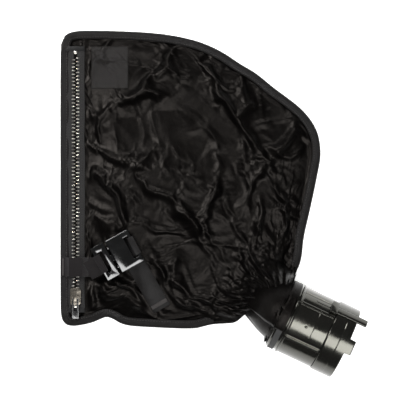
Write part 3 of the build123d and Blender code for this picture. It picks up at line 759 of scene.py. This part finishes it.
step = np.arange(count)
close = np.stack([last + step, last + (step + 1) % count, (step + 1) % count, step], 1)
sleeve = new_piece("collar_sleeve_moulding", rings.reshape(-1, 3), np.r_[ring_faces, close], plastic)
face_outwards(sleeve)
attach(sleeve, "collar")
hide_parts("collar_sleeve")

# End ring: one rounded section carried round from one side of the finger's slot to the other, with the
# key where it is longer.
key_half, key_longer = 11.9, 6.6
theta = np.unique(np.r_[np.linspace(-40.9, 302.9, 170), near([-key_half, key_half], 0.5)])
key = window(theta, -key_half, key_half, 0.5)
section = [(52.2, 36.4), (52.2, 38.0), (52.5, 38.35), (53.0, rim), (53.3, rim), (58.8, rim), (64.3, rim)]
section += [(64.6, rim), (64.9, 38.2), (65.3, 38.2), (65.6, rim), (65.9, rim), (70.0, rim), (73.7, rim)]
section += [(74.0, rim), (74.7, 38.2), (75.0, 37.7), (75.0, 36.6), (74.6, 36.25), (52.6, 36.25)]
section = np.array(section)
reach = section[:, 0][None, :] + key_longer * key[:, None] * (section[:, 0] > 73)[None, :]
radii, bearings = np.broadcast_arrays(section[:, 1], theta[:, None])
ring_rows = around_collar(reach, radii, bearings)
n = len(section)
end_faces = grid_faces(len(theta), n, closed=True).tolist()
end_faces += end_caps(len(theta), n)
end_ring = new_piece("end_ring_moulding", ring_rows.reshape(-1, 3), end_faces, plastic)
face_outwards(end_ring)
end_ring.data.set_sharp_from_angle(angle=0.8)
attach(end_ring, "collar")
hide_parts("collar_end_ring")

# Lock finger: a bar bent to the barrel's curve, with rounded corners and a blunt tip.
finger_sides = 40
turn = np.linspace(0, 2 * np.pi, finger_sides, endpoint=False)
square_across = np.sign(np.cos(turn)) * np.abs(np.cos(turn)) ** 0.35
square_up = np.sign(np.sin(turn)) * np.abs(np.sin(turn)) ** 0.45
stations = np.array([46.0, 46.15, 46.6, 50, 60, 70, 80, 83.8, 84.6, 84.95, 85.0])
swell = np.array([0.6, 0.85, 1, 1, 1, 1, 1, 1, 0.93, 0.78, 0.5])
finger_middle, finger_half, finger_thick = -49.0, 6.85, 1.4
bar_t = finger_middle + finger_half * square_across[None, :] * swell[:, None]
bar_r = barrel + 0.8 + finger_thick * square_up[None, :] * swell[:, None]
bar = around_collar(np.broadcast_to(stations[:, None], bar_t.shape), bar_r, bar_t)
bar_faces = grid_faces(len(stations), finger_sides, closed=True).tolist()
bar_faces += end_caps(len(stations), finger_sides)
finger = new_piece("finger_moulding", bar.reshape(-1, 3), bar_faces, plastic)
face_outwards(finger)
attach(finger, "finger")
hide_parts("lock_finger")
dress("lock_keeper", "keeper_moulding", plastic, "collar", 0.0003)
band, tree, shader, place = new_material("woven_band", (0.012, 0.012, 0.012), 0.7)
emboss(tree, shader, bump(tree, wave(tree, place, 400, "Z"), 0.0002))
frame["nodes"]["neck_tie"].data.materials.clear()
frame["nodes"]["neck_tie"].data.materials.append(band)

# ---------------------------------------------------------------------------------------------------
# Zip. Two twill tapes sewn on the front, plated teeth clamped on their inner edges, cloth tabs over the
# ends, and a plated slider with a lacquered pull. The chain is closed, and the slider is at the foot.
twill, tree, shader, place = new_material("zip_twill", (0.008, 0.008, 0.008), 0.75, Specular_IOR_Level=0.3)
shader.inputs["Sheen Weight"].default_value = 0.04
rows_of = join(tree, "MULTIPLY", wave(tree, place, 340, "DIAGONAL"), wave(tree, place, 500, "Y"))
paint(tree, shader, rows_of, (0.005, 0.005, 0.005), (0.022, 0.02, 0.019))
emboss(tree, shader, bump(tree, rows_of, 0.00025))


def to_mm(value, axis):
    """A place in metres along one of the object's axes, in plan millimetres."""
    return (value - plan_corner[axis]) * 1000


zip_low, zip_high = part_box("zip_tape_left")
right_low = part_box("zip_tape_right")[0]
zip_line = 0.5 * (zip_high[0] + right_low[0])
zip_x, foot_y, head_y = to_mm(zip_line, 0), to_mm(zip_low[1], 1), to_mm(zip_high[1], 1)
tape_z = zip_low[2] * 1000
for side, node in ((-1, "zip_tape_left"), (1, "zip_tape_right")):
    length = np.linspace(foot_y, head_y, 190)
    width = np.array([1.7, 1.7, 2.4, 4.2, 5.0, 5.6, 9.2, 9.7, 9.7, 9.2, 5.6, 2.4])
    level = np.array([0.05, 0.75, 0.85, 0.8, 1.0, 0.8, 0.78, 0.6, 0.12, 0.04, 0.02, 0.0])
    drift = 0.25 * ripples(length, length * 0, 40, 61 + side)
    strip = np.zeros((len(length), len(width), 3))
    strip[..., 0] = zip_x + side * (width[None, :] + drift[:, None] * ease(3, 9, width)[None, :])
    strip[..., 1] = length[:, None]
    wave_up = 0.15 * ripples(length, length * 0, 22, 63)
    strip[..., 2] = tape_z + level[None, :] + wave_up[:, None] * ease(4, 9, width)
    n = len(width)
    strip_faces = grid_faces(len(length), n, closed=True).tolist()
    strip_faces += end_caps(len(length), n)
    piece = new_piece(node + "_woven", on_plan(strip.reshape(-1, 3)), strip_faces, twill)
    face_outwards(piece)
    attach(piece, "bag")
    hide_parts(node)
    path = np.c_[np.full(len(length), zip_x), length]
    normal = np.c_[np.full(len(length), float(side)), np.zeros(len(length))]
    seam_level = np.full(len(length), tape_z + 0.85)
    stitch_row(node + "_stitches", path, normal, 6.9, seam_level, 2.6, thread, 0.22)

tooth_metal, tree, shader, place = new_material("plated_tooth", (0.2, 0.19, 0.175), 0.28, Metallic=1.0)
wear = noise(tree, place, 150, 3)
paint(tree, shader, ramp(tree, wear, 0.4, 0.62, 0, 1), (0.12, 0.11, 0.1), (0.8, 0.77, 0.7))
shine(tree, shader, wear, 0.3, 0.7, 0.42, 0.2)
tooth_low, tooth_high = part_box("zip_teeth_left")
tooth_rise = (tooth_high[2] - tooth_low[2]) * 1000
tooth_count = 69
pitch = ((tooth_high[1] - tooth_low[1]) * 1000 - 1.5) / (tooth_count - 1)
start_y = to_mm(tooth_low[1], 1) + 0.75
tooth_foot = tooth_low[2] * 1000


def tooth_shape(side):
    """One tooth as a ring-by-ring loft: a clamp over the tape's edge, a waist, and a domed head."""
    reach = np.array([4.05, 3.9, 2.9, 2.1, 1.5, 0.75, 0.42])
    breadth = np.array([0.52, 0.66, 0.62, 0.5, 0.62, 0.66, 0.4])
    height = np.array([0.6, 1.05, 1.25, 1.2, 1.38, 1.3, 0.75])
    turn = np.arange(10) * np.pi / 5
    square = 1 / np.maximum(np.abs(np.cos(turn)), np.abs(np.sin(turn))) ** 0.55
    rings = np.zeros((len(reach), len(turn), 3))
    rings[..., 0] = side * reach[:, None]
    rings[..., 1] = breadth[:, None] * (np.cos(turn) * square)[None, :]
    rings[..., 2] = height[:, None] * (np.sin(turn) * square)[None, :]
    return rings.reshape(-1, 3)


for side, node, offset in ((-1, "zip_teeth_left", 0.0), (1, "zip_teeth_right", 0.5)):
    tooth = tooth_shape(side)
    place_y = start_y + (np.arange(tooth_count) + offset) * pitch
    spots = np.c_[np.full(tooth_count, zip_x), place_y, np.full(tooth_count, tooth_foot + tooth_rise / 2)]
    every = (spots[:, None, :] + tooth[None, :, :]).reshape(-1, 3)
    one = grid_faces(7, 10, closed=True).tolist() + [list(range(9, -1, -1)), list(range(60, 70))]
    all_faces = [[v + 70 * index for v in face] for index in range(tooth_count) for face in one]
    piece = new_piece(node + "_plated", on_plan(every), all_faces, tooth_metal)
    face_outwards(piece)
    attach(piece, "bag")
    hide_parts(node)

for node in ("zip_bottom_stop", "zip_top_stop"):
    dress(node, node + "_plated", tooth_metal, "bag", 0.0004)
for node in ("zip_bottom_tab", "zip_top_tab"):
    dress(node, node + "_cloth", tape, "bag", 0.0003)

nickel, tree, shader, place = new_material("warm_nickel", (0.5, 0.45, 0.36), 0.25, Metallic=1.0)
tarnish = noise(tree, place, 240, 4)
paint(tree, shader, ramp(tree, tarnish, 0.35, 0.65, 0, 1), (0.03, 0.027, 0.023), (0.2, 0.18, 0.15))
shine(tree, shader, tarnish, 0.3, 0.7, 0.38, 0.2)
dress("slider_body", "slider_plated", nickel, "slider", 0.0005, 3)
lacquer, tree, shader, place = new_material(
    "black_lacquer", (0.008, 0.008, 0.008), 0.2, Coat_Weight=0.6, Coat_Roughness=0.1
)
shine(tree, shader, noise(tree, place, 130, 4), 0.3, 0.7, 0.14, 0.34)
dress("pull_tab", "pull_lacquered", lacquer, "pull", 0.0005, 3)

# ---------------------------------------------------------------------------------------------------
# Straps. Plain webbing: the charcoal lock strap crosses over the zip from the left seam to the buckle,
# and the anchor strap runs from the buckle's far bar down to where it is sewn to the front. The anchor
# strap is glossier, and its colour is darker: partly its own black, and partly painted shade where the
# buckle's shadow falls on it.
webbing, tree, shader, place = new_material(
    "charcoal_webbing", (0.02, 0.0175, 0.018), 0.7, Specular_IOR_Level=0.08
)
shader.inputs["Sheen Weight"].default_value = 0.06
shader.inputs["Sheen Roughness"].default_value = 0.5
cords_of = join(tree, "MULTIPLY", wave(tree, place, 260, "Y"), wave(tree, place, 330, "X"))
paint(tree, shader, cords_of, (0.004, 0.0035, 0.0036), (0.022, 0.0185, 0.019))
emboss(tree, shader, bump(tree, cords_of, 0.0004))
dress("lock_strap", "lock_webbing", webbing, "bag", 0.0004)
# The anchor strap's base colour is set darker than the lock strap's, partly as painted shade of the
# buckle's shadow.
shade_darkened_strap, tree, shader, place = new_material(
    "shade_darkened_strap", (0.003, 0.0027, 0.0027), 0.45, Specular_IOR_Level=0.1
)
ribs_of = wave(tree, place, 300, "DIAGONAL")
# Its rib colours are kept darker than the lock strap's, partly as painted shade.
paint(tree, shader, ribs_of, (0.0015, 0.0013, 0.0013), (0.006, 0.0052, 0.005))
emboss(tree, shader, bump(tree, noise(tree, place, 90, 5), 0.0005))
dress("anchor_strap", "anchor_webbing", shade_darkened_strap, "bag", 0.0004)
dress("lock_strap_tack", "lock_tack_thread", thread, "bag", 0.0002)
dress("anchor_strap_tack", "anchor_tack_thread", thread, "bag", 0.0002)

# ---------------------------------------------------------------------------------------------------
# Buckle. A side-release buckle in glossy black plastic: the base with its tongue, two springy arms that
# bend in when they are pressed, and the socket that they lock into.
buckle, tree, shader, place = new_material(
    "buckle_gloss", (0.003, 0.003, 0.003), 0.1, Specular_IOR_Level=0.7
)
shine(tree, shader, noise(tree, place, 70, 5), 0.3, 0.7, 0.06, 0.16)
emboss(tree, shader, bump(tree, noise(tree, place, 120, 3), 0.00004))
dress("buckle_base", "buckle_base_moulding", buckle, "bag", 0.0013, 3)
dress("buckle_socket", "buckle_socket_moulding", buckle, "bag", 0.0013, 3)
dress("buckle_arm_upper", "arm_upper_moulding", buckle, "arm_upper", 0.0006, 3)
dress("buckle_arm_lower", "arm_lower_moulding", buckle, "arm_lower", 0.0006, 3)

# ---------------------------------------------------------------------------------------------------
# Label patch. A plain woven patch near the zip's head, folded under at its edges. It lies on the cloth
# and follows its creases, and it is left blank.
patch, tree, shader, place = new_material(
    "plain_patch", (0.016, 0.015, 0.015), 0.42, Specular_IOR_Level=0.16
)
grain = join(tree, "ADD", wave(tree, place, 600, "X"), wave(tree, place, 600, "Y"))
paint(tree, shader, noise(tree, place, 90, 4), (0.007, 0.0062, 0.006), (0.015, 0.0135, 0.0125))
emboss(tree, shader, bump(tree, grain, 0.0001))
patch_low, patch_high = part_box("label_patch")
patch_columns, patch_rows = 60, 66
patch_x = np.linspace(to_mm(patch_low[0], 0), to_mm(patch_high[0], 0), patch_columns)
patch_y = np.linspace(to_mm(patch_low[1], 1), to_mm(patch_high[1], 1), patch_rows)
flat_x, flat_y = np.meshgrid(patch_x, patch_y, indexing="ij")
cloth_tree = BVHTree.FromObject(bag_cloth, bpy.context.evaluated_depsgraph_get())
above = on_plan(np.c_[flat_x.ravel(), flat_y.ravel(), np.full(flat_x.size, 60.0)])
patch_z = np.array([cloth_tree.ray_cast(Vector(spot), (0, 0, -1))[0][2] * 1000 for spot in above])
patch_z = patch_z.reshape(flat_x.shape)
border_x = np.minimum(flat_x - patch_x[0], patch_x[-1] - flat_x)
border = np.minimum(border_x, np.minimum(flat_y - patch_y[0], patch_y[-1] - flat_y))
thick = 0.4 + 0.25 * (1 - ease(2.0, 4.0, border)) - 0.5 * (1 - ease(0, 0.8, border))
sheet_top = np.stack([flat_x, flat_y, patch_z + thick], -1).reshape(-1, 3)
sheet_foot = np.stack([flat_x, flat_y, patch_z - 0.35], -1).reshape(-1, 3)
top_faces = grid_faces(patch_columns, patch_rows)
count = patch_columns * patch_rows
number = np.arange(count).reshape(patch_columns, patch_rows)
loop = np.r_[number[:, 0], number[-1, 1:], number[-2::-1, -1], number[0, -2:0:-1]]
loop_on = np.roll(loop, -1)
rim_faces = np.stack([loop, loop_on, loop_on + count, loop + count], 1)
patch_faces = top_faces.tolist() + (top_faces[:, ::-1] + count).tolist() + rim_faces.tolist()
label = new_piece("blank_label", on_plan(np.r_[sheet_top, sheet_foot]), patch_faces, patch)
face_outwards(label)
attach(label, "bag")
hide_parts("label_patch")

# ---------------------------------------------------------------------------------------------------
# Studio. A pale floor that glows a little, three soft lights and a camera straight overhead: the main
# light is beyond the foot of the bag, and two smaller ones are towards its head.
floor_paint, tree, shader, place = new_material("pale_floor", (0.9, 0.9, 0.9), 0.9)
paint(tree, shader, noise(tree, place, 3, 2), (0.88, 0.88, 0.88), (0.92, 0.92, 0.92))
shader.inputs["Emission Color"].default_value = (1.0, 1.0, 0.98, 1)
shader.inputs["Emission Strength"].default_value = 0.62
floor_corners = [(-3, -3, 0), (3, -3, 0), (3, 3, 0), (-3, 3, 0)]
floor = new_piece("floor", floor_corners, [(0, 1, 2, 3)], floor_paint, False)


def soft_light(name, place, size, power, aim=(0, 0, 0)):
    """A square area light at a place, turned to its aim."""
    data = bpy.data.lights.new(name, "AREA")
    data.shape = "SQUARE"
    data.size = size
    data.energy = power
    light = bpy.data.objects.new(name, data)
    light.location = place
    light.rotation_euler = (Vector(aim) - Vector(place)).to_track_quat("-Z", "Y").to_euler()
    bpy.context.scene.collection.objects.link(light)


soft_light("main", (0.24, -0.46, 1.25), 0.72, 17)
soft_light("head_left", (-0.7, 0.42, 0.95), 0.45, 19)
soft_light("head", (0.1, 1.15, 0.8), 0.4, 9)
world = bpy.data.worlds.new("studio")
world.use_nodes = True
world.node_tree.nodes["Background"].inputs["Color"].default_value = (0.95, 0.97, 1.0, 1)
world.node_tree.nodes["Background"].inputs["Strength"].default_value = 0.08
bpy.context.scene.world = world
bpy.context.scene.view_settings.view_transform = "Standard"

lens = bpy.data.cameras.new("overhead_camera")
camera = bpy.data.objects.new("overhead_camera", lens)
camera_height = 2.2
view_width = 0.4435
lens.sensor_width = 36
lens.lens = 36 * (camera_height - 0.012) / view_width
lens.clip_end = 10
camera.location = on_plan([(158.4, 124.6)])[0] + np.array([0, 0, camera_height])
bpy.context.scene.collection.objects.link(camera)
bpy.context.scene.camera = camera
